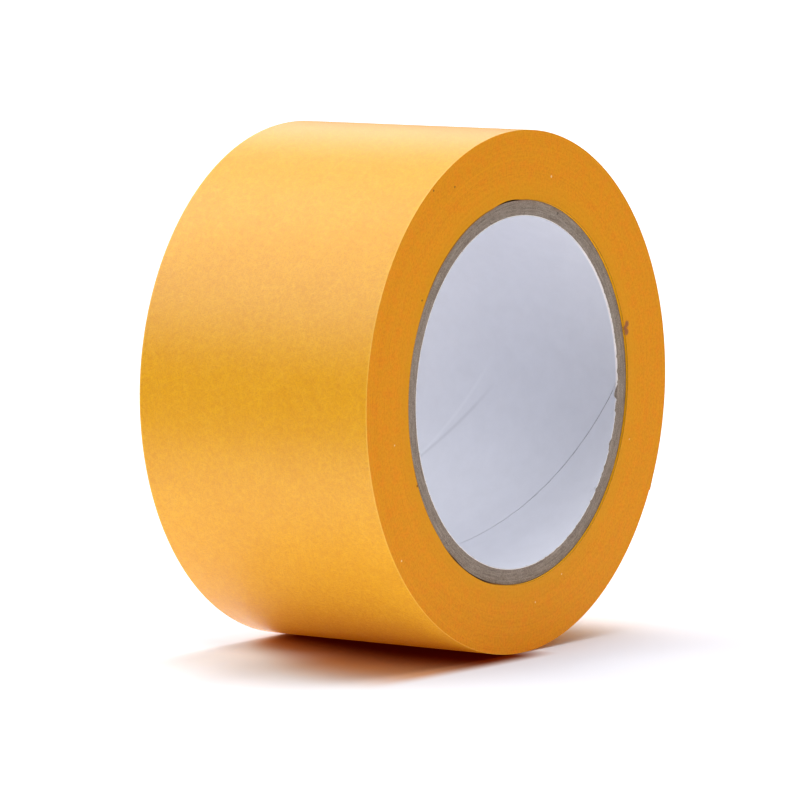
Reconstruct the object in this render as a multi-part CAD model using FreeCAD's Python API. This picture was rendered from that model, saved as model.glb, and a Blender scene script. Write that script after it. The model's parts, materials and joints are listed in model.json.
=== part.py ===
import FreeCAD, Part
import math
import os

# Masking tape roll: paper tape wound on a spiral-wound paper core.
#
# Millimetres and degrees. +Z is up and the roll stands on its tape, as a wheel does. The origin is on the axis of the
# bore, halfway across the width. The axis lies along Y, and the front side face looks along -Y.
# Angles run round the axis from +X towards +Z. Each shape is drawn with its axis along Z and its front face up, and
# stand() then lays it down along Y.

# Driving dimensions of the core
BORE_RADIUS = 38.1
CORE_WALL = 3.5
CORE_RECESS = 0.5  # the core's ends sit this far inside the tape's side faces
LINER_THICKNESS = 0.2
BOARD_PLIES = 5
GLUE_FILM = 0.02
STRIP_LEAD = 128.0  # every ply's strip advances this far along the axis in one turn
LINER_SEAM_ANGLE = 276.0  # where the liner's seam crosses the middle of the width
PLY_STAGGER = 107.5  # from one ply's seam to the next ply's
LINER_SEAM_GAP = 0.15
BOARD_SEAM_GAP = 0.4

# Driving dimensions of the tape
TAPE_WIDTH = 60.0
TAPE_THICKNESS = 0.09
ROLL_RADIUS = 56.75
TACK_GAP = 0.01  # between the peelable tail and the lap that it lies on
VOIDS = (  # (middle angle, half angle, depth) of each place where the first laps stand off the core
    (97.0, 8.0, 0.40),
    (228.0, 4.5, 0.20),
    (246.0, 11.0, 0.30),
)

# Driving dimensions of the tail: the last stretch of tape, which peels off. It is one flexible strip, so it is
# divided into short links, each hinged to the one before.
PEEL_ANGLE = 45.0  # the tape is stuck up to here
TAIL_LINKS = 8
TAIL_ARC = 72.0

# Drawing limits
LONGEST_ARC = 30.0  # of a spiral, drawn as one circular arc
OVERRUN = 2.0  # how far a seam's cutter runs past each end of the core

CORE_LENGTH = TAPE_WIDTH - 2 * CORE_RECESS
CORE_RADIUS = BORE_RADIUS + CORE_WALL
BOARD_THICKNESS = (CORE_WALL - LINER_THICKNESS) / BOARD_PLIES - GLUE_FILM
TAPE_INNER_RADIUS = CORE_RADIUS + GLUE_FILM
LINK_ARC = TAIL_ARC / TAIL_LINKS
TAIL_END_ANGLE = PEEL_ANGLE - TAIL_ARC

ORIGIN = FreeCAD.Vector(0, 0, 0)
AXIS = FreeCAD.Vector(0, 0, 1)


def point(radius, angle, height=0.0):
    turned = math.radians(angle)
    return FreeCAD.Vector(radius * math.cos(turned), radius * math.sin(turned), height)


def stand(shape):
    """Lays a shape that was drawn round Z down along Y, with its top face to the front."""
    shape.rotate(ORIGIN, FreeCAD.Vector(1, 0, 0), 90)
    return shape


def prism(outline, inner_outline=None):
    """The solid across the tape's whole width that an outline of edges encloses."""
    wires = [Part.Wire(outline)]
    if inner_outline:
        wires.append(Part.Wire(inner_outline))
    face = Part.makeFace(wires, "Part::FaceMakerBullseye")
    face.translate(FreeCAD.Vector(0, 0, -TAPE_WIDTH / 2))
    return face.extrude(FreeCAD.Vector(0, 0, TAPE_WIDTH))


# Core


def tube(inner_radius, outer_radius):
    base = FreeCAD.Vector(0, 0, -CORE_LENGTH / 2)
    outer = Part.makeCylinder(outer_radius, CORE_LENGTH, base)
    return outer.cut(Part.makeCylinder(inner_radius, CORE_LENGTH, base))


def seam(inner_radius, outer_radius, gap, angle):
    """The helical gap where the edges of a ply's strip meet, crossing the middle of the width at this angle."""
    radius = (inner_radius + outer_radius) / 2
    length = CORE_LENGTH + 2 * OVERRUN
    helix = Part.makeHelix(STRIP_LEAD, length, radius)
    along = FreeCAD.Vector(0, 2 * math.pi * radius, STRIP_LEAD).normalize()
    outward = FreeCAD.Vector(1, 0, 0)
    across = along.cross(outward)
    half_depth = outer_radius - inner_radius
    corners = [
        point(radius, 0) + outward * half_depth * side + across * gap / 2 * edge
        for side, edge in ((-1, -1), (1, -1), (1, 1), (-1, 1), (-1, -1))
    ]
    cutter = Part.Wire(helix.Edges).makePipeShell([Part.makePolygon(corners)], True, True)
    cutter.translate(FreeCAD.Vector(0, 0, -length / 2))
    cutter.rotate(ORIGIN, AXIS, angle - 180 * length / STRIP_LEAD)
    return cutter


def ply(inner_radius, thickness, gap, seam_angle):
    """One strip of the core, wound into a tube with its edges butted."""
    outer_radius = inner_radius + thickness
    return tube(inner_radius, outer_radius).cut(seam(inner_radius, outer_radius, gap, seam_angle))


def core_parts():
    parts = {"core_liner": ply(BORE_RADIUS, LINER_THICKNESS, LINER_SEAM_GAP, LINER_SEAM_ANGLE)}
    inner_radius = BORE_RADIUS + LINER_THICKNESS
    for number in range(1, BOARD_PLIES + 1):
        inner_radius += GLUE_FILM
        angle = LINER_SEAM_ANGLE + number * PLY_STAGGER
        parts[f"core_board_ply_{number}"] = ply(inner_radius, BOARD_THICKNESS, BOARD_SEAM_GAP, angle)
        inner_radius += BOARD_THICKNESS
    return parts


# Tape


def lap_radius(angle):
    """Outer radius of the last lap, which spirals in by one thickness a turn from the tape's free end."""
    return ROLL_RADIUS - TAPE_THICKNESS * (angle - TAIL_END_ANGLE) / 360


def under_lap_radius(angle):
    return lap_radius(angle + 360)


def follow(radius_at, start, end):
    """Edges along a radius that changes slowly with the angle, drawn as circular arcs."""
    count = math.ceil(abs(end - start) / LONGEST_ARC)
    step = (end - start) / count

    def on_curve(steps):
        angle = start + steps * step
        return point(radius_at(angle), angle)

    return [Part.Arc(on_curve(n), on_curve(n + 0.5), on_curve(n + 1)).toShape() for n in range(count)]


def radial_edge(angle, from_radius, to_radius):
    return Part.makeLine(point(from_radius, angle), point(to_radius, angle))


def windings_outer_outline():
    """The last lap up to the peel line, then the lap under the tail, a step lower."""

    def bed_radius(angle):
        return under_lap_radius(angle) - TACK_GAP

    last_angle = TAIL_END_ANGLE + 360
    return (
        follow(lap_radius, PEEL_ANGLE, last_angle)
        + [radial_edge(TAIL_END_ANGLE, lap_radius(last_angle), bed_radius(TAIL_END_ANGLE))]
        + follow(bed_radius, TAIL_END_ANGLE, PEEL_ANGLE)
        + [radial_edge(PEEL_ANGLE, bed_radius(PEEL_ANGLE), lap_radius(PEEL_ANGLE))]
    )


def windings_inner_outline():
    """The circle on the core, bulging outwards at each void."""
    edges = []
    first_angle = VOIDS[0][0] - VOIDS[0][1]
    angle = first_angle
    for middle, half, depth in VOIDS:
        if middle - half > angle:
            edges += follow(lambda _: TAPE_INNER_RADIUS, angle, middle - half)
        bulge = [
            point(TAPE_INNER_RADIUS, middle - half),
            point(TAPE_INNER_RADIUS + depth, middle),
            point(TAPE_INNER_RADIUS, middle + half),
        ]
        edges.append(Part.Arc(*bulge).toShape())
        angle = middle + half
    return edges + follow(lambda _: TAPE_INNER_RADIUS, angle, first_angle + 360)


def tail_link(number):
    start = PEEL_ANGLE - (number - 1) * LINK_ARC
    end = start - LINK_ARC
    return prism(
        follow(lap_radius, start, end)
        + [radial_edge(end, lap_radius(end), under_lap_radius(end))]
        + follow(under_lap_radius, end, start)
        + [radial_edge(start, under_lap_radius(start), lap_radius(start))]
    )


def tape_parts():
    parts = {"tape_windings": prism(windings_outer_outline(), windings_inner_outline())}
    for number in range(1, TAIL_LINKS + 1):
        parts[f"tape_tail_{number}"] = tail_link(number)
    return parts


os.makedirs("parts", exist_ok=True)
for name, shape in {**core_parts(), **tape_parts()}.items():
    stand(shape).exportStep(f"parts/{name}.step")
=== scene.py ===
"""Looks of a roll of gold paper masking tape with a free end, on a spiral-wound paperboard core.

Metres, in the CAD frame: the bore's axis is Y, the front side face looks along -Y and +Z is up.
Angles are in degrees and run round the axis from +X towards +Z. The materials' nodes work in
millimetres and radians.
"""

import json
import math

import bmesh
import bpy
import numpy as np
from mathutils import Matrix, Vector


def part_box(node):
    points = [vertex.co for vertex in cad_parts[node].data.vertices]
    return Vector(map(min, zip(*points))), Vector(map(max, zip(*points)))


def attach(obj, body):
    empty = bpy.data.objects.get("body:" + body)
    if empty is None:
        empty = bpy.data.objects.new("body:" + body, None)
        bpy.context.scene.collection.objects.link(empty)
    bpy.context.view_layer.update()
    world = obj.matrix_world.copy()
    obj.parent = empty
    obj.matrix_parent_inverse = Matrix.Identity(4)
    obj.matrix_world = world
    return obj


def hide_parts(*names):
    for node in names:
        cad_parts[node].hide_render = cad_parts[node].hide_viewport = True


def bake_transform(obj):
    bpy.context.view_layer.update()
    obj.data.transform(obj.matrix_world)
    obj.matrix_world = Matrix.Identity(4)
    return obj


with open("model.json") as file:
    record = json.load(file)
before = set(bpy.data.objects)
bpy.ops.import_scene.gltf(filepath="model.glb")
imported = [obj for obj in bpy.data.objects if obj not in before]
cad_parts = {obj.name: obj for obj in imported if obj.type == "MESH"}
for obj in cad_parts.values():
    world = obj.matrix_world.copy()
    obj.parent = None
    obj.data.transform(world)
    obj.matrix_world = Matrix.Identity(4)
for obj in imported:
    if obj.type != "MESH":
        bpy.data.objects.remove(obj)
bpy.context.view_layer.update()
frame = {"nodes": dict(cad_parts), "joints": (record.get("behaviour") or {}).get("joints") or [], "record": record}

MM = 0.001

# Measures taken from the frame
mounts = {mount["name"]: mount for mount in frame["record"]["mounts"]}
BORE_RADIUS = mounts["core_bore"]["dims"]["r_mm"] * MM
CORE_HALF = mounts["core_bore"]["dims"]["length_mm"] / 2 * MM
TAPE_HALF = abs(mounts["front_face"]["pos_m"][1])
LINER_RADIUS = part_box("core_liner")[1].x
BOARD_PLIES = sum(name.startswith("core_board_ply") for name in frame["nodes"])
CORE_RADIUS = max(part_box(f"core_board_ply_{ply + 1}")[1].x for ply in range(BOARD_PLIES))
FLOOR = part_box("tape_windings")[0].z


def polar(joint):
    """A hinge's angle round the bore's axis and its distance from the axis."""
    x, _, z = joint["pos_m"]
    return math.degrees(math.atan2(z, x)), math.hypot(x, z)


hinges = [polar(joint) for joint in frame["joints"]]
LINKS = len(hinges)
PEEL_ANGLE, PEEL_RADIUS = hinges[0]
LINK_ARC = (hinges[0][0] - hinges[-1][0]) / (LINKS - 1)
TAIL_END_ANGLE = PEEL_ANGLE - LINKS * LINK_ARC
TAPE_THICKNESS = (hinges[-1][1] - PEEL_RADIUS) / (hinges[0][0] - hinges[-1][0]) * 360

# Details too fine for the frame
TACK_GAP = 0.01 * MM
GLUE_FILM = 0.02 * MM
STRIP_LEAD = 128 * MM
LINER_SEAM_ANGLE = 276.0
PLY_STAGGER = 107.5
LINER_SEAM_GAP = 0.28 * MM
BOARD_SEAM_GAP = 0.4 * MM
EDGE_ROUND = 0.03 * MM
EDGE_TURNS = (90, 60, 30)  # degrees round the tape's rounded edge, one point at each
STEP_WIDTH = 0.05  # degrees taken up by a step in the roll's outside, at each end of the tail
STEP_SUPPORT = 0.1  # degrees from a step to the next row of points, which keeps the step sharp

# Places of the tape's materials in each of its pieces
FACE, SIDE, GLUE = range(3)

# Gaps between core and tape, and chips out of the liner's front edge: (middle angle, half angle, depth)
VOIDS = ((97.0, 8.0, 0.40 * MM), (228.0, 4.5, 0.20 * MM), (246.0, 11.0, 0.30 * MM))
CHIPS = (
    (355.5, 2.6, 0.62 * MM),
    (351.0, 2.2, 0.25 * MM),
    (97.5, 1.6, 0.5 * MM),
    (338.0, 2.2, 0.25 * MM),
)
WORN_ANGLE = 318  # where the liner's edge is most worn
WHITER_END_ANGLE = 22  # where the liner is whiter close to its ends

# Where painted shadow darkens the gap between core and tape, on the front face: (middle angle, half angle,
# darkness)
GAP_SHADOWS = ((126, 34, 0.62), (242, 22, 0.95))

# Painted shade and painted highlight along grooves that board seams press into the liner, in millimetres: (angle
# at the middle, lead, half width, colour)
SEAM_GROOVE_SHADING = ((1.0, 221.0, 1.1, (170, 172, 184)), (13.0, 165.0, 1.3, (216, 218, 228)))

# Marks on the front side face: (angle, radius in millimetres, size in millimetres, colour)
SMUDGE = (135, 78, 66)
SPECK = (92, 52, 16)
DUST = (250, 222, 172)
MARKS = (
    (16.2, 42.9, 0.95, SMUDGE),
    (13.9, 42.3, 0.95, SMUDGE),
    (15.4, 42.0, 0.80, SMUDGE),
    (203.5, 41.9, 0.35, SPECK),
    (148.5, 43.0, 0.32, SPECK),
    (118.4, 52.0, 0.32, SPECK),
    (125.6, 55.8, 0.34, SPECK),
    (277.0, 46.5, 0.24, DUST),
    (291.0, 44.0, 0.22, DUST),
    (189.0, 47.2, 0.24, DUST),
    (76.0, 47.5, 0.34, DUST),
    (216.0, 54.5, 0.28, DUST),
    (342.0, 44.5, 0.20, DUST),
)

# Studio: each lamp is (azimuth from +X towards +Y, elevation, sharpness, strength)
LAMPS = (
    (0, 77, 20, 11.0),
    (95, 36, 18, 5.2),
    (136, 32, 18, 2.5),
    (46, 26, 14, 1.5),
    (262, 42, 16, 1.7),
)

# The table, in millimetres. These ranges are distances from the middle of the roll.
TABLE_EDGE = (120.0, 260.0)  # the table darkens over this range, as the roll reflects it
GLOW = 0.31  # light that the overexposed table sends up to the roll
GLOW_RISE = (20.0, 88.0)
GLOW_FALL = (100.0, 350.0)
WARM_GLOW = (84.0, 60.0)  # the glow turns orange over this range, as light that has come off the tape
COOL_SHADE = (150.0, 70.0)
WHITE = (1.0, 1.0, 1.0, 1.0)
ORANGE = (1.0, 0.52, 0.0, 1.0)

# Light added where the shadow thins out, in millimetres: its strength, and its ranges along X and Y
LIFT = 0.24
LIFT_LEFT = (-22.0, -40.0)
LIFT_BACK = (-5.0, 20.0)

# The painted shadow under the roll, in millimetres: the ranges over which it sets in from each side
PATCH_RIGHT = (6.0, -4.0)
PATCH_FRONT = (-38.0, -31.0)
PATCH_BACK = (34.0, 24.0)
PATCH_WIDTHS = (-56.0, -14.0)  # how far it reaches to the left, at the front and at the back
PATCH_ENDS = (-25.0, 45.0)  # where along Y it has those widths
# Its tints: (share of the width where the tint starts, share where it is full, colour)
PATCH_TINTS = ((1.20, 0.66, (195, 146, 110)), (0.76, 0.24, (97, 29, 0)))


# Shapes


def lap_radius(angle):
    """Outer radius of the last lap, which spirals in from the free end."""
    return PEEL_RADIUS - TAPE_THICKNESS * (angle - PEEL_ANGLE) / 360


def waves(angle, seed, longest, shortest, size):
    """A smooth random wave round the axis, between -size and size, made of whole numbers of cycles."""
    cycles = np.arange(longest, shortest)
    draw = np.random.RandomState(seed)
    phase = draw.uniform(0, 2 * math.pi, len(cycles))
    share = draw.uniform(0.3, 1.0, len(cycles)) / np.sqrt(cycles)
    turn = np.linspace(0, 360, 40 * shortest + 1)
    total = (share * np.sin(np.radians(turn)[:, None] * cycles + phase)).sum(-1)
    total = np.clip(total / (1.6 * np.sqrt((share**2).sum())), -1, 1)
    return size * np.interp(np.mod(angle, 360), turn, total)


def dips(angle, places):
    """A sum of smooth dips, each (middle angle, half angle, depth)."""
    total = np.zeros_like(angle)
    for middle, half, depth in places:
        apart = ((angle - middle + 180) % 360 - 180) / half
        total += depth * np.clip(1 - apart**2, 0, None)
    return total


def ring_points(radius, angle, along):
    """Points at a distance from the bore's axis, an angle round it and a place along it."""
    turned = np.radians(angle)
    return np.stack([radius * np.cos(turned), along + 0 * turned, radius * np.sin(turned)], -1)


def sweep(name, loops, joined, zones, materials):
    """A closed skin through a row of closed loops, which is joined up or else capped at both ends.

    zones gives the material of each stretch round a loop.
    """
    count, size = loops.shape[:2]
    vertex = np.arange(count * size).reshape(count, size)
    here = vertex if joined else vertex[:-1]
    ahead = np.roll(vertex, -1, 0) if joined else vertex[1:]
    corners = [here, np.roll(here, -1, 1), np.roll(ahead, -1, 1), ahead]
    faces = np.stack(corners, -1).reshape(-1, 4).tolist()
    face_zones = np.tile(zones, len(here)).tolist()
    if not joined:
        faces += [vertex[0].tolist(), vertex[-1].tolist()]
        face_zones += [int(zones[-1])] * 2
    mesh = bpy.data.meshes.new(name)
    mesh.from_pydata(loops.reshape(-1, 3).tolist(), [], faces)
    for material in materials:
        mesh.materials.append(material)
    mesh.polygons.foreach_set("material_index", face_zones)
    face_outwards(mesh)
    mesh.shade_smooth()
    mesh.set_sharp_from_angle(angle=math.radians(40))
    piece = bpy.data.objects.new(name, mesh)
    bpy.context.scene.collection.objects.link(piece)
    return piece


def face_outwards(mesh):
    """Turns every face of a closed skin outwards."""
    shell = bmesh.new()
    shell.from_mesh(mesh)
    bmesh.ops.recalc_face_normals(shell, faces=shell.faces)
    shell.to_mesh(mesh)
    shell.free()


def store(piece, name, vectors):
    """Keeps a vector with each vertex, for the material to read."""
    attribute = piece.data.attributes.new(name, "FLOAT_VECTOR", "POINT")
    attribute.data.foreach_set("vector", vectors.astype(np.float32).ravel())


# Tape


def across_tape():
    """Places across the width, closer together at the edges."""
    near = EDGE_ROUND + np.array([0, 0.1, 0.3, 1.0, 2.5]) * MM
    middle = np.linspace(-TAPE_HALF + 5 * MM, TAPE_HALF - 5 * MM, 21)
    return np.concatenate([near - TAPE_HALF, middle, TAPE_HALF - near[::-1]])


def edge_round(side):
    """(drop, inset) of the points that round the outer edge on one side, in order across the tape."""
    turn = np.radians(EDGE_TURNS)
    points = [(EDGE_ROUND * (1 - math.cos(t)), EDGE_ROUND * (1 - math.sin(t))) for t in turn]
    ordered = points if side < 0 else points[::-1]
    return [(drop, side * (TAPE_HALF - inset)) for drop, inset in ordered]


def outer_profile():
    """(drop below the outer radius, place along Y) across the tape's outer face, with rounded edges."""
    flat = [(0.0, along) for along in across_tape()]
    return np.array(edge_round(-1) + flat + edge_round(1))


def swell(angle, along):
    """How far the outer face stands off a true spiral: laps lie slightly wavy."""
    across = along / TAPE_HALF
    first = waves(angle, 11, 3, 9, 0.012 * MM) * np.cos(across * 2.1 + 0.4)
    second = waves(angle, 12, 2, 14, 0.010 * MM) * np.sin(across * 3.7 + 1.0)
    return first + second - 0.022 * MM * across**8


def strip_coordinates(radius, angle, along):
    """Millimetres along the strip, across it and through it."""
    return np.stack([np.radians(angle) * PEEL_RADIUS, along + 0 * angle, radius + 0 * angle], -1) / MM


def windings(materials):
    """All the laps as one skin. Its outside is the last lap, and then the lap below, as the tail's bed."""
    bed_start, bed_end = TAIL_END_ANGLE + 360, PEEL_ANGLE + 360
    step = [PEEL_ANGLE, PEEL_ANGLE + STEP_SUPPORT]
    laid = [*np.arange(PEEL_ANGLE + 1, bed_start, 1.0), bed_start - STEP_WIDTH]
    bed = [*np.arange(bed_start, bed_end, 1.0), bed_end - STEP_WIDTH]
    angle = np.array(step + laid + bed)
    outer = lap_radius(angle) - TACK_GAP * (angle >= bed_start)
    inner = CORE_RADIUS + GLUE_FILM + dips(angle, VOIDS)

    profile = outer_profile()
    skin_angle = np.repeat(angle[:, None], len(profile), 1)
    skin_radius = outer[:, None] - profile[:, 0] + swell(skin_angle, profile[:, 1])
    skin_along = np.repeat(profile[None, :, 1], len(angle), 0)

    rings = np.linspace(0, 1, 38)[1:-1]
    side_radius = outer[:, None] - EDGE_ROUND + (inner - outer + EDGE_ROUND)[:, None] * rings
    side_angle = np.repeat(angle[:, None], len(rings), 1)
    back_along = TAPE_HALF - side_relief(side_angle, 21)
    front_along = side_relief(side_angle, 31) - TAPE_HALF
    across_bore = np.array([TAPE_HALF, TAPE_HALF - 1 * MM, 0, 1 * MM - TAPE_HALF, -TAPE_HALF])
    bore_radius = np.repeat(inner[:, None], len(across_bore), 1)
    bore_along = np.repeat(across_bore[None], len(angle), 0)
    radius = np.concatenate([skin_radius, side_radius, bore_radius, side_radius[:, ::-1]], 1)
    along = np.concatenate([skin_along, back_along, bore_along, front_along[:, ::-1]], 1)
    around = np.repeat(angle[:, None], radius.shape[1], 1)
    zones = np.full(radius.shape[1], SIDE)
    zones[: len(profile) - 1] = FACE
    loops = ring_points(radius, around, 0) + along[..., None] * np.array([0, 1, 0])
    piece = sweep("tape_roll", loops, True, zones, materials)
    store(piece, "strip", strip_coordinates(radius, around, along))
    return piece


def side_relief(angle, seed):
    """How far each lap's edge stands in from the side face: laps don't land exactly on one another."""
    relief = np.zeros_like(angle)
    draw = np.random.RandomState(seed)
    for ring in range(angle.shape[1]):
        level = draw.uniform(0.004, 0.020) * MM
        relief[:, ring] = level + waves(angle[:, ring], seed + ring, 1, 7, 0.004 * MM)
    return relief


def tail_piece(number, materials):
    """The tail from the middle of one link to the middle of the next, across the hinge between them."""
    first = PEEL_ANGLE if number == 1 else PEEL_ANGLE - (number - 1.5) * LINK_ARC
    bend_end = PEEL_ANGLE - (number - 0.5) * LINK_ARC
    last = TAIL_END_ANGLE if number == LINKS else bend_end
    rows_per_degree = 2
    angle = np.linspace(first, last, int(round((first - last) * rows_per_degree)) + 1)
    if number == 1:
        angle = np.insert(angle, 1, first - STEP_SUPPORT)

    profile = outer_profile()
    skin_angle = np.repeat(angle[:, None], len(profile), 1)
    lifted = lap_radius(angle) + end_lift(angle)
    skin_radius = lifted[:, None] - profile[:, 0] + swell(skin_angle, profile[:, 1])
    flat = profile[len(EDGE_TURNS) : -len(EDGE_TURNS), 1][::-1]
    flat_angle = skin_angle[:, : len(flat)]
    under_radius = lifted[:, None] - TAPE_THICKNESS + swell(flat_angle, flat)
    edge_radius = under_radius[:, [0, -1]]
    radius = np.concatenate([skin_radius, edge_radius[:, :1], under_radius, edge_radius[:, 1:]], 1)
    along = np.concatenate([profile[:, 1], [TAPE_HALF], flat, [-TAPE_HALF]])
    around = np.repeat(angle[:, None], len(along), 1)

    zones = np.full(len(along), GLUE)
    zones[: len(profile) - 1] = FACE
    zones[[len(profile) - 1, -1]] = SIDE
    loops = ring_points(radius, around, 0) + along[:, None] * np.array([0, 1, 0])
    piece = sweep(f"tape_tail_end_{number}", loops, False, zones, materials)
    store(piece, "strip", strip_coordinates(radius, around, along + 0 * around))
    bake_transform(piece)
    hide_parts(f"tape_tail_{number}")
    return piece


def end_lift(angle):
    """How far the tape stands off the roll in the last few degrees of its free end."""
    lifted_arc, height = 4.0, 0.22 * MM
    share = np.clip(1 - (angle - TAIL_END_ANGLE) / lifted_arc, 0, 1)
    return height * share**2


# Core


def strip_angles(columns, gap, radius, seam_angle, along):
    """Angle of each column of a strip's grid, from one edge of its seam round to the other."""
    half_gap = math.degrees(gap / radius) / 2
    at_seam = seam_angle - 360 * along / STRIP_LEAD
    return at_seam + half_gap + columns * (360 - 2 * half_gap)


def strip_rows(near_end):
    """Places along the core as shares of its half. Rows are close, because their points lie on a helix."""
    ends = np.array([1.0] + near_end)
    return np.concatenate([-ends, np.linspace(-0.92, 0.92, 27), ends[::-1]])


def wound_strip(name, size, seam, columns, rows, through, edge, relief, materials):
    """A helically wound strip of paper as a closed skin.

    size is its inner and outer radius, and seam is the seam's angle at the middle and its gap.
    rows are places along Y as shares of the half width, and through are shares of the thickness at which
    an end has points. edge(angle, side, share) is how far an end stands in, and relief(angle, along)
    moves the inner face.
    """
    inner, outer = size
    seam_angle, gap = seam
    inside = [(row, 0.0) for row in rows]
    back_end = [(1.0, share) for share in through]
    outside = [(row, 1.0) for row in rows[::-1]]
    front_end = [(-1.0, share) for share in through[::-1]]
    loop = np.array(inside + back_end + outside + front_end)
    depth = loop[:, 1]
    along = np.repeat((loop[:, 0] * CORE_HALF)[None], len(columns), 0)
    for _ in range(3):  # an end's inset moves its angle, and the angle changes the inset
        angle = strip_angles(columns[:, None], gap, inner, seam_angle, along)
        inset = np.zeros_like(along)
        for side in (-1, 1):
            near = np.clip(loop[:, 0] * side, 0, 1) ** 12
            inset += side * near * edge(angle, side, depth)
        along = loop[:, 0] * CORE_HALF - inset
    thickness = outer - inner
    radius = inner + depth * thickness + (1 - depth) * relief(angle, along)
    loops = ring_points(radius, angle, 0) + along[..., None] * np.array([0, 1, 0])
    return sweep(name, loops, False, np.zeros(len(loop), int), materials)


def liner(materials):
    """The white strip, with a nibbled edge."""
    columns = np.linspace(0, 1, 900)
    rows = strip_rows([0.998, 0.994, 0.985, 0.96])

    def edge(angle, side, share):
        nibbles = np.clip(waves(angle, 5 + side, 40, 210, 0.42 * MM) - 0.04 * MM, 0, None)
        worn = 0.2 + 0.8 * np.clip(np.cos(np.radians(angle - WORN_ANGLE)), 0, 1)
        return nibbles * worn + (dips(angle, CHIPS) if side < 0 else 0)

    def relief(angle, along):
        burr = np.clip(waves(angle, 8, 15, 150, 0.2 * MM), 0, None)
        return -burr * np.clip(-along / CORE_HALF, 0, 1) ** 60

    size = (BORE_RADIUS, LINER_RADIUS)
    seam = (LINER_SEAM_ANGLE, LINER_SEAM_GAP)
    through = np.array([0.25, 0.75])
    piece = wound_strip("liner_strip", size, seam, columns, rows, through, edge, relief, materials)
    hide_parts("core_liner")
    return piece


def board_ply(number, materials):
    """One grey strip: its cut ends are fibrous."""
    pitch = (CORE_RADIUS - LINER_RADIUS) / BOARD_PLIES
    inner = LINER_RADIUS + (number - 1) * pitch + GLUE_FILM
    size = (inner, LINER_RADIUS + number * pitch)
    seam = (LINER_SEAM_ANGLE + number * PLY_STAGGER, BOARD_SEAM_GAP)
    columns = np.linspace(0, 1, 400)
    rows = strip_rows([0.996, 0.98])
    through = np.array([0.12, 0.32, 0.5, 0.68, 0.88])
    bands = 6

    def edge(angle, side, share):
        cut = waves(angle, 40 + number * 2 + side, 3, 25, 0.02 * MM)
        fibres = 0
        for band in range(bands):
            tuft = waves(angle, 60 + number * 9 + side + band, 60, 220, 0.03 * MM)
            fibres = fibres + tuft * np.exp(-(((share - band / (bands - 1)) / 0.15) ** 2))
        return 0.03 * MM + cut + fibres

    def relief(angle, along):
        return np.zeros_like(angle)

    name = f"board_strip_{number}"
    piece = wound_strip(name, size, seam, columns, rows, through, edge, relief, materials)
    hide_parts(f"core_board_ply_{number}")
    return piece


# Materials. Noise is 0.5 on average and seldom leaves 0.3 to 0.7, so fit() picks its high or low places.


def add(tree, kind, inputs=None, **settings):
    """A new node with its inputs set or linked. Returns its first output."""
    node = tree.nodes.new(kind)
    for name, value in settings.items():
        setattr(node, name, value)
    for name, value in (inputs or {}).items():
        if isinstance(value, bpy.types.NodeSocket):
            tree.links.new(value, node.inputs[name])
        else:
            node.inputs[name].default_value = value
    return node.outputs[0] if node.outputs else None


def calculate(tree, operation, *values):
    """A sum on one or two values, each a socket or a number."""
    return add(tree, "ShaderNodeMath", dict(enumerate(values)), operation=operation)


def fit(tree, value, low, high, to_low=0.0, to_high=1.0, smooth=False):
    """Maps a range onto another, clamped."""
    limits = {"Value": value, "From Min": low, "From Max": high, "To Min": to_low, "To Max": to_high}
    return add(tree, "ShaderNodeMapRange", limits, interpolation_type="SMOOTHSTEP" if smooth else "LINEAR")


def noise(tree, place, scale, detail=3.0, roughness=0.55):
    """Smooth random values from 0 to 1. scale is in patches per unit of the place."""
    inputs = {"Vector": place, "Scale": scale, "Detail": detail, "Roughness": roughness}
    return add(tree, "ShaderNodeTexNoise", inputs)


def stretch(tree, place, scale, turn=0.0):
    """A place turned about Z by some degrees and then scaled, for a grain that runs one way."""
    inputs = {"Vector": place, "Rotation": (0, 0, math.radians(turn)), "Scale": scale}
    return add(tree, "ShaderNodeMapping", inputs, vector_type="TEXTURE")


def blend_colours(tree, share, first, second):
    """The first colour where share is 0, the second where it is 1. Each is a socket or a value."""
    node = tree.nodes.new("ShaderNodeMix")
    node.data_type = "RGBA"
    for socket, value in zip((0, 6, 7), (share, first, second)):
        if isinstance(value, bpy.types.NodeSocket):
            tree.links.new(value, node.inputs[socket])
        else:
            node.inputs[socket].default_value = value
    return node.outputs[2]


def colour(red, green, blue):
    """A colour given as it shows on a screen, from 0 to 255."""
    shares = [value / 255 for value in (red, green, blue)]
    linear = [s / 12.92 if s <= 0.04045 else ((s + 0.055) / 1.055) ** 2.4 for s in shares]
    return (*linear, 1.0)


def paint(tree, shade, share, red_green_blue):
    """Lays a colour over a shade. share is how much of it covers, from 0 to 1."""
    return blend_colours(tree, share, shade, colour(*red_green_blue))


def new_material(name):
    """An empty material and its node tree."""
    material = bpy.data.materials.new(name)
    material.use_nodes = True
    material.node_tree.nodes.clear()
    return material, material.node_tree


def finish(tree, shade, roughness, height, depth, specular=0.5):
    """Ends a material with a Principled surface. depth is the height of the relief, in metres."""
    normal = add(tree, "ShaderNodeBump", {"Height": height, "Distance": depth, "Strength": 1.0})
    inputs = {"Base Color": shade, "Roughness": roughness, "Normal": normal, "Specular IOR Level": specular}
    surface = add(tree, "ShaderNodeBsdfPrincipled", inputs)
    add(tree, "ShaderNodeOutputMaterial", {"Surface": surface})


def object_millimetres(tree):
    """The point's place in the object, in millimetres."""
    place = tree.nodes.new("ShaderNodeTexCoord").outputs["Object"]
    return add(tree, "ShaderNodeVectorMath", {0: place, "Scale": 1 / MM}, operation="SCALE")


def strip_millimetres(tree):
    """The point's place on the strip of tape, as strip_coordinates gives it."""
    node = tree.nodes.new("ShaderNodeAttribute")
    node.attribute_name = "strip"
    return node.outputs["Vector"]


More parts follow.
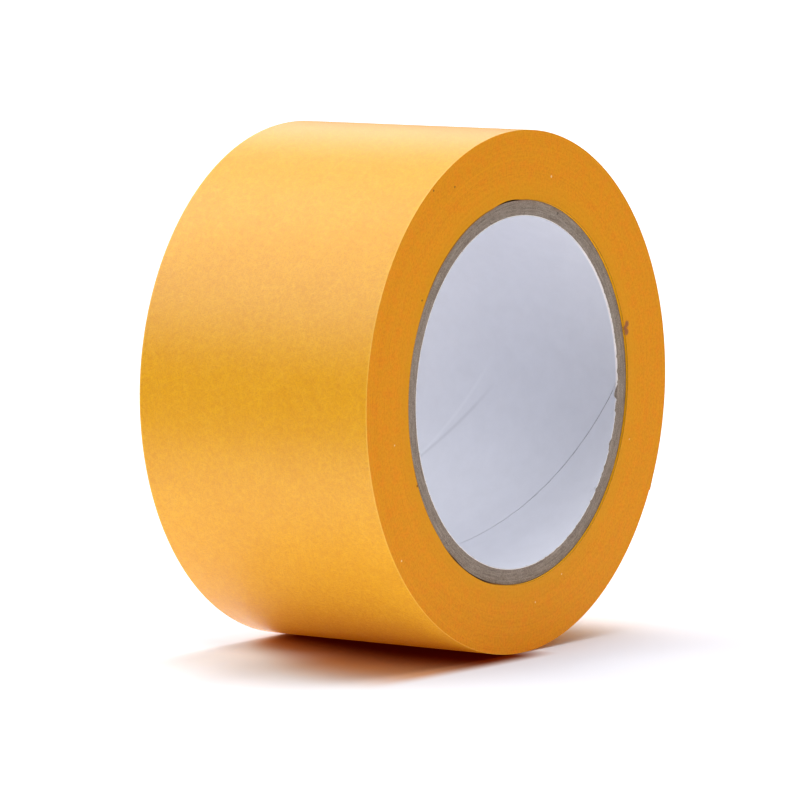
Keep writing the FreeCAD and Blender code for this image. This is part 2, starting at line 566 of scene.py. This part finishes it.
def polar_place(tree, place):
    """Distance from the bore's axis, angle round it in radians and place along it."""
    parts = add(tree, "ShaderNodeSeparateXYZ", {0: place}).node.outputs
    flat = add(tree, "ShaderNodeVectorMath", {0: place, 1: (1.0, 0.0, 1.0)}, operation="MULTIPLY")
    radius = add(tree, "ShaderNodeVectorMath", {0: flat}, operation="LENGTH").node.outputs["Value"]
    return radius, calculate(tree, "ARCTAN2", parts["Z"], parts["X"]), parts["Y"]


def ring_place(tree, angle, across, round_scale):
    """A place for noise in rings: across is any value that grows outwards, already scaled."""
    turn = calculate(tree, "MULTIPLY", calculate(tree, "COSINE", angle), round_scale)
    rise = calculate(tree, "MULTIPLY", calculate(tree, "SINE", angle), round_scale)
    return add(tree, "ShaderNodeCombineXYZ", {0: across, 1: turn, 2: rise})


def towards(tree, angle, middle):
    """The cosine of a place's angle from a direction round the axis: 1 means straight that way."""
    return calculate(tree, "COSINE", calculate(tree, "SUBTRACT", angle, math.radians(middle)))


def depth_from_face(tree, along, half):
    """How far in a place lies from the nearer end of something that reaches from -half to half along Y."""
    return calculate(tree, "SUBTRACT", half / MM, calculate(tree, "ABSOLUTE", along))


def paper_fibres(tree, place):
    """Short fine fibres lying in several directions, from 0 to 1."""
    layers = []
    for turn, length, width in ((12, 2.6, 0.24), (-38, 2.2, 0.20), (71, 2.8, 0.22), (104, 2.0, 0.20)):
        grain = noise(tree, stretch(tree, place, (length, width, 1.0), turn), 1.0, 1.0)
        layers.append(fit(tree, grain, 0.56, 0.76, smooth=True))
    total = layers[0]
    for layer in layers[1:]:
        total = calculate(tree, "MAXIMUM", total, layer)
    return total


def tape_face():
    """The outer face: smooth rice paper under a thin release coat, with a painted highlight along both edges."""
    material, tree = new_material("tape_face")
    place = strip_millimetres(tree)
    fibres = paper_fibres(tree, place)
    cloud = noise(tree, place, 0.10, 3.0)
    mottle = noise(tree, place, 1.0, 3.0, 0.65)
    grain = noise(tree, place, 2.8, 2.0, 0.7)
    shade = blend_colours(tree, fit(tree, cloud, 0.3, 0.7), colour(233, 167, 9), colour(238, 174, 13))
    shade = paint(tree, shade, fit(tree, mottle, 0.40, 0.62, 0.0, 0.30), (215, 136, 2))
    shade = paint(tree, shade, fit(tree, grain, 0.40, 0.62, 0.0, 0.48), (208, 130, 2))
    shade = paint(tree, shade, calculate(tree, "MULTIPLY", fibres, 0.30), (250, 192, 50))
    across = add(tree, "ShaderNodeSeparateXYZ", {0: place}).node.outputs["Y"]
    # painted highlight: the outer face turns lighter yellow along both edges
    rim = fit(tree, calculate(tree, "ABSOLUTE", across), TAPE_HALF / MM - 0.35, TAPE_HALF / MM - 0.05)
    shade = paint(tree, shade, calculate(tree, "MULTIPLY", rim, 0.5), (255, 208, 90))
    roughness = fit(tree, mottle, 0.3, 0.7, 0.19, 0.27)
    height = calculate(tree, "ADD", calculate(tree, "MULTIPLY", fibres, 0.5), grain)
    finish(tree, shade, roughness, height, 0.02 * MM, 0.52)
    return material


def tape_side():
    """The cut edges of all the laps: matt, with faint rings, a darker innermost lap with painted shadow in gaps
    against the core, and a few marks.
    """
    material, tree = new_material("tape_side")
    place = object_millimetres(tree)
    radius, angle, along = polar_place(tree, place)
    # The laps spiral: a turn round the axis is a step of one lap outwards
    laps = calculate(tree, "DIVIDE", radius, TAPE_THICKNESS / MM)
    laps = calculate(tree, "ADD", laps, calculate(tree, "DIVIDE", angle, 2 * math.pi))
    rings = noise(tree, ring_place(tree, angle, laps, 1.0), 0.45, 4.0, 0.7)
    mottle = noise(tree, place, 1.7, 3.0, 0.65)
    cloud = noise(tree, place, 0.40, 3.0, 0.6)
    ragged = noise(tree, place, 4.0)

    core = CORE_RADIUS / MM
    outwards = fit(tree, radius, core, PEEL_RADIUS / MM)
    shade = blend_colours(tree, outwards, colour(232, 150, 3), colour(231, 144, 4))
    shade = paint(tree, shade, fit(tree, cloud, 0.42, 0.60, 0.0, 0.8), (222, 146, 2))
    shade = paint(tree, shade, fit(tree, cloud, 0.50, 0.34, 0.0, 0.7), (229, 132, 3))
    shade = paint(tree, shade, fit(tree, mottle, 0.42, 0.62, 0.0, 0.7), (210, 120, 1))
    shade = paint(tree, shade, fit(tree, rings, 0.40, 0.66, 0.0, 0.45), (238, 158, 8))
    shade = paint(tree, shade, fit(tree, radius, core + 5.0, core + 0.8, 0.0, 0.5), (216, 148, 4))
    shade = core_gap(tree, shade, radius, angle, ragged)
    inner_wall = fit(tree, depth_from_face(tree, along, TAPE_HALF), 0.06, 0.12)
    shade = paint(tree, shade, inner_wall, (250, 180, 30))
    shade = side_marks(tree, shade, place, ragged)
    height = calculate(tree, "ADD", rings, mottle)
    finish(tree, shade, fit(tree, mottle, 0.3, 0.7, 0.5, 0.62), height, 0.03 * MM, 0.15)
    return material


def core_gap(tree, shade, radius, angle, ragged):
    """The innermost lap is darker in a thin line all round, and painted shadow makes it wider and darker where a
    gap against the core shows.
    """
    start, widest, soft = CORE_RADIUS / MM + 0.02, 0.36, 0.08
    gap_darkening = fit(tree, ragged, 0.35, 0.6, 0.1, 0.4)
    # painted shadow: wider and darker where the gap against the core shows
    for middle, half, darkness in GAP_SHADOWS:
        limits = [math.cos(math.radians(half * share)) for share in (1.0, 0.4)]
        dark = fit(tree, towards(tree, angle, middle), *limits, 0.0, darkness)
        gap_darkening = calculate(tree, "MAXIMUM", gap_darkening, dark)
    beyond = calculate(tree, "SUBTRACT", radius, calculate(tree, "MULTIPLY_ADD", gap_darkening, widest, start))
    return paint(tree, shade, fit(tree, beyond, soft, 0.0, 0.0, gap_darkening), (58, 32, 8))


def side_marks(tree, shade, place, ragged):
    """Small marks with uneven edges on the front side face."""
    for angle, radius, size, tint in MARKS:
        centre = ring_points(radius, np.array(angle), -TAPE_HALF / MM).tolist()
        apart = add(tree, "ShaderNodeVectorMath", {0: place, 1: centre}, operation="DISTANCE")
        apart = apart.node.outputs["Value"]
        apart = calculate(tree, "ADD", apart, fit(tree, ragged, 0.3, 0.7, -0.25 * size, 0.25 * size))
        shade = paint(tree, shade, fit(tree, apart, size, size * 0.5, 0.0, 0.8, smooth=True), tint)
    return shade


def tape_glue():
    """The adhesive side: deeper in colour and shinier than the face."""
    material, tree = new_material("tape_glue")
    place = strip_millimetres(tree)
    ripple = noise(tree, place, 0.9, 4.0)
    fibres = paper_fibres(tree, place)
    shade = blend_colours(tree, fit(tree, ripple, 0.3, 0.7), colour(226, 138, 14), colour(233, 152, 26))
    shade = paint(tree, shade, calculate(tree, "MULTIPLY", fibres, 0.2), (246, 186, 88))
    finish(tree, shade, fit(tree, ripple, 0.3, 0.7, 0.22, 0.32), ripple, 0.02 * MM)
    return material


def liner_paper():
    """Smooth white paper. Painted shade and painted highlight run along grooves that seams in the board press into
    it, and its edges differ from its face.
    """
    material, tree = new_material("liner_paper")
    place = object_millimetres(tree)
    radius, angle, along = polar_place(tree, place)
    cloud = noise(tree, place, 0.25, 4.0)
    grain = noise(tree, place, 3.0, 3.0)
    shade = blend_colours(tree, fit(tree, cloud, 0.3, 0.7), colour(202, 204, 215), colour(207, 209, 220))
    shade = paint(tree, shade, fit(tree, grain, 0.3, 0.8, 0.0, 0.15), (194, 196, 206))
    # painted shade and painted highlight along the grooves over the board's seams
    for start, lead, half_width, tint in SEAM_GROOVE_SHADING:
        shade = paint(tree, shade, painted_groove_shading(tree, angle, along, start, lead, half_width), tint)
    shade = liner_edges(tree, shade, place, radius, angle, along)
    finish(tree, shade, fit(tree, cloud, 0.3, 0.7, 0.5, 0.6), grain, 0.008 * MM)
    return material


def painted_groove_shading(tree, angle, along, start, lead, half_width):
    """How much painted groove shading a seam gives at a place. It fades out towards the front."""
    turned = calculate(tree, "SUBTRACT", calculate(tree, "MULTIPLY", angle, 180 / math.pi), start)
    turned = calculate(tree, "MULTIPLY_ADD", along, 360 / lead, turned)
    turned = calculate(tree, "ABSOLUTE", calculate(tree, "WRAP", turned, 180.0, -180.0))
    half_angle = math.degrees(half_width / (BORE_RADIUS / MM))
    strength = fit(tree, along, 3.0, 9.0, 0.0, 0.4)
    return fit(tree, turned, half_angle, 0.0, 0.0, strength, smooth=True)


def liner_edges(tree, shade, place, radius, angle, along):
    """Painted shade darkens the seam's sides and a painted highlight whitens the cut ends, with a torn grey rim
    and, at one side, a whiter band near the ends.
    """
    bore = BORE_RADIUS / MM
    depth = depth_from_face(tree, along, CORE_HALF)
    # painted shade on the seam's sides, deeper in, and a painted highlight on the cut ends
    cut = blend_colours(tree, fit(tree, depth, 1.3, 1.0), colour(92, 90, 98), colour(246, 240, 238))
    behind_face = fit(tree, radius, bore + 0.07, bore + 0.10)
    shade = blend_colours(tree, behind_face, shade, cut)
    rim = fit(tree, noise(tree, place, 1.8), 0.35, 0.65, 0.1, 0.7)
    torn = fit(tree, calculate(tree, "SUBTRACT", radius, rim), bore, bore + 0.06)
    torn = calculate(tree, "MULTIPLY", torn, fit(tree, depth, 1.0, 0.7))
    shade = paint(tree, shade, torn, (158, 146, 136))
    whiter_end = fit(tree, towards(tree, angle, WHITER_END_ANGLE), 0.80, 0.93)
    return paint(tree, shade, fit(tree, depth, 0.45, 0.30, 0.0, whiter_end), (240, 234, 234))


def grey_board():
    """Solid recycled paperboard: layers and flecks of every grey and brown, and painted shade on its outermost
    rim, which shows in gaps under the tape.
    """
    material, tree = new_material("grey_board")
    place = object_millimetres(tree)
    radius, angle, _ = polar_place(tree, place)
    rings = ring_place(tree, angle, calculate(tree, "MULTIPLY", radius, 3.4), 7.0)
    layers = noise(tree, rings, 1.0, 3.0, 0.6)
    clumps = noise(tree, place, 1.1, 4.0, 0.65)
    flecks = noise(tree, place, 4.0, 2.0)
    shade = blend_colours(tree, fit(tree, clumps, 0.3, 0.7), colour(126, 110, 98), colour(150, 136, 124))
    shade = paint(tree, shade, fit(tree, layers, 0.52, 0.66, 0.0, 0.45), (178, 166, 154))
    shade = paint(tree, shade, fit(tree, layers, 0.46, 0.34, 0.0, 0.5), (96, 80, 68))
    shade = paint(tree, shade, fit(tree, flecks, 0.58, 0.68, 0.0, 0.55), (190, 178, 166))
    shade = paint(tree, shade, fit(tree, flecks, 0.42, 0.32, 0.0, 0.55), (84, 70, 60))
    # painted shade: the board's outermost rim is dark, where it shows only in gaps under the tape
    painted_outside_shade = fit(tree, radius, CORE_RADIUS / MM - 0.10, CORE_RADIUS / MM - 0.04)
    shade = paint(tree, shade, painted_outside_shade, (58, 36, 22))
    height = calculate(tree, "ADD", clumps, flecks)
    finish(tree, shade, 0.88, height, 0.05 * MM)
    return material


# Stage


def floor():
    """A table much wider than the view."""
    mesh = bpy.data.meshes.new("floor")
    reach = 8.0
    corners = [(x * reach, y * reach, FLOOR) for x, y in ((-1, -1), (1, -1), (1, 1), (-1, 1))]
    mesh.from_pydata(corners, [], [(0, 1, 2, 3)])
    mesh.materials.append(table())
    piece = bpy.data.objects.new("floor", mesh)
    bpy.context.scene.collection.objects.link(piece)


def table():
    """A pale matt table, shaded near the roll.

    What lies past its edge is out of the light, so the roll reflects it as a dark band. The table is
    overexposed, so it also lights the roll from below.
    """
    material, tree = new_material("floor")
    place = object_millimetres(tree)
    away = add(tree, "ShaderNodeVectorMath", {0: place}, operation="LENGTH").node.outputs["Value"]
    parts = add(tree, "ShaderNodeSeparateXYZ", {0: place}).node.outputs
    ray = add(tree, "ShaderNodeLightPath").node.outputs

    grain = noise(tree, place, 0.05, 2.0)
    shade = blend_colours(tree, grain, colour(239, 239, 240), colour(240, 240, 241))
    unlit = calculate(tree, "MULTIPLY", ray["Is Glossy Ray"], fit(tree, away, *TABLE_EDGE))
    shade = paint(tree, shade, unlit, (80, 80, 82))
    cool = calculate(tree, "MULTIPLY", ray["Is Camera Ray"], fit(tree, away, *COOL_SHADE, smooth=True))
    shade = paint(tree, shade, cool, (224, 225, 232))
    shade = painted_contact_shadow(tree, shade, ray["Is Camera Ray"], parts["X"], parts["Y"])

    scattered = ray["Is Diffuse Ray"]
    glow = fit(tree, away, *GLOW_RISE, 0.0, GLOW, smooth=True)
    glow = calculate(tree, "MULTIPLY", glow, fit(tree, away, *GLOW_FALL, 1.0, 0.0))
    glow = calculate(tree, "MULTIPLY", scattered, glow)
    warmth = calculate(tree, "MULTIPLY", scattered, fit(tree, away, *WARM_GLOW, smooth=True))
    lift = calculate(tree, "MULTIPLY", ray["Is Camera Ray"], shadow_lift(tree, parts["X"], parts["Y"]))
    inputs = {
        "Base Color": shade,
        "Roughness": 0.6,
        "Specular IOR Level": 0.0,
        "Emission Color": blend_colours(tree, warmth, WHITE, ORANGE),
        "Emission Strength": calculate(tree, "ADD", glow, lift),
    }
    surface = add(tree, "ShaderNodeBsdfPrincipled", inputs)
    add(tree, "ShaderNodeOutputMaterial", {"Surface": surface})
    material.cycles.emission_sampling = "NONE"
    return material


def painted_contact_shadow(tree, shade, seen, x, y):
    """A painted shadow on the floor close under the roll on its left, dark and warm, as the camera sees it."""
    width = fit(tree, y, *PATCH_ENDS, *PATCH_WIDTHS, smooth=True)
    share = calculate(tree, "DIVIDE", x, width)
    under = calculate(tree, "MULTIPLY", seen, fit(tree, x, *PATCH_RIGHT))
    under = calculate(tree, "MULTIPLY", under, fit(tree, y, *PATCH_FRONT, smooth=True))
    under = calculate(tree, "MULTIPLY", under, fit(tree, y, *PATCH_BACK, smooth=True))
    for outer, inner, tint in PATCH_TINTS:
        warm = calculate(tree, "MULTIPLY", under, fit(tree, share, outer, inner, smooth=True))
        shade = paint(tree, shade, warm, tint)
    return shade


def shadow_lift(tree, x, y):
    """A little extra light where the shadow thins out, behind and to the left of the roll."""
    beside = fit(tree, x, *LIFT_LEFT, 0.0, LIFT, smooth=True)
    behind = fit(tree, y, *LIFT_BACK, smooth=True)
    return calculate(tree, "MULTIPLY", beside, behind)


def surroundings():
    """A white studio. The camera sees plain white, and big soft lamps light the roll from far away."""
    world = bpy.data.worlds.new("studio")
    bpy.context.scene.world = world
    world.use_nodes = True
    tree = world.node_tree
    tree.nodes.clear()
    direction = tree.nodes.new("ShaderNodeTexCoord").outputs["Generated"]
    light = 0.0
    for azimuth, elevation, sharpness, strength in LAMPS:
        turn, rise = math.radians(azimuth), math.radians(elevation)
        lamp = (math.cos(turn) * math.cos(rise), math.sin(turn) * math.cos(rise), math.sin(rise))
        facing = add(tree, "ShaderNodeVectorMath", {0: direction, 1: lamp}, operation="DOT_PRODUCT")
        facing = calculate(tree, "MAXIMUM", facing.node.outputs["Value"], 0.0)
        glow = calculate(tree, "MULTIPLY", calculate(tree, "POWER", facing, sharpness), strength)
        light = calculate(tree, "ADD", light, glow)
    lamps = add(tree, "ShaderNodeBackground", {"Color": WHITE, "Strength": light})
    backdrop = add(tree, "ShaderNodeBackground", {"Color": (0.99, 0.99, 0.99, 1.0), "Strength": 1.0})
    mixed = add(tree, "ShaderNodeMixShader", {0: add(tree, "ShaderNodeLightPath"), 1: lamps, 2: backdrop})
    add(tree, "ShaderNodeOutputWorld", {"Surface": mixed})


def camera():
    """A long lens, slightly above the roll and turned towards its front face."""
    azimuth, elevation, distance = math.radians(-54.375), math.radians(5.586), 1.36415
    lens = bpy.data.cameras.new("camera")
    lens.lens = 281.05
    lens.sensor_width = 36.0
    lens.shift_x = -0.00979
    lens.shift_y = -0.01901
    lens.clip_end = 50
    viewer = bpy.data.objects.new("camera", lens)
    bpy.context.scene.collection.objects.link(viewer)
    flat = math.cos(elevation)
    viewer.location = (
        distance * math.sin(azimuth) * flat,
        -distance * math.cos(azimuth) * flat,
        distance * math.sin(elevation),
    )
    viewer.rotation_euler = (math.pi / 2 - elevation, 0, azimuth)
    bpy.context.scene.camera = viewer


tape = [tape_face(), tape_side(), tape_glue()]
wound = windings(tape)
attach(wound, "roll")
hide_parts("tape_windings")
for number in range(1, LINKS + 1):
    tail_piece(number, tape)
lining = liner([liner_paper()])
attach(lining, "roll")
board = [grey_board()]
for number in range(1, BOARD_PLIES + 1):
    ply = board_ply(number, board)
    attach(ply, "roll")

floor()
surroundings()
camera()
bpy.context.scene.view_settings.view_transform = "Standard"
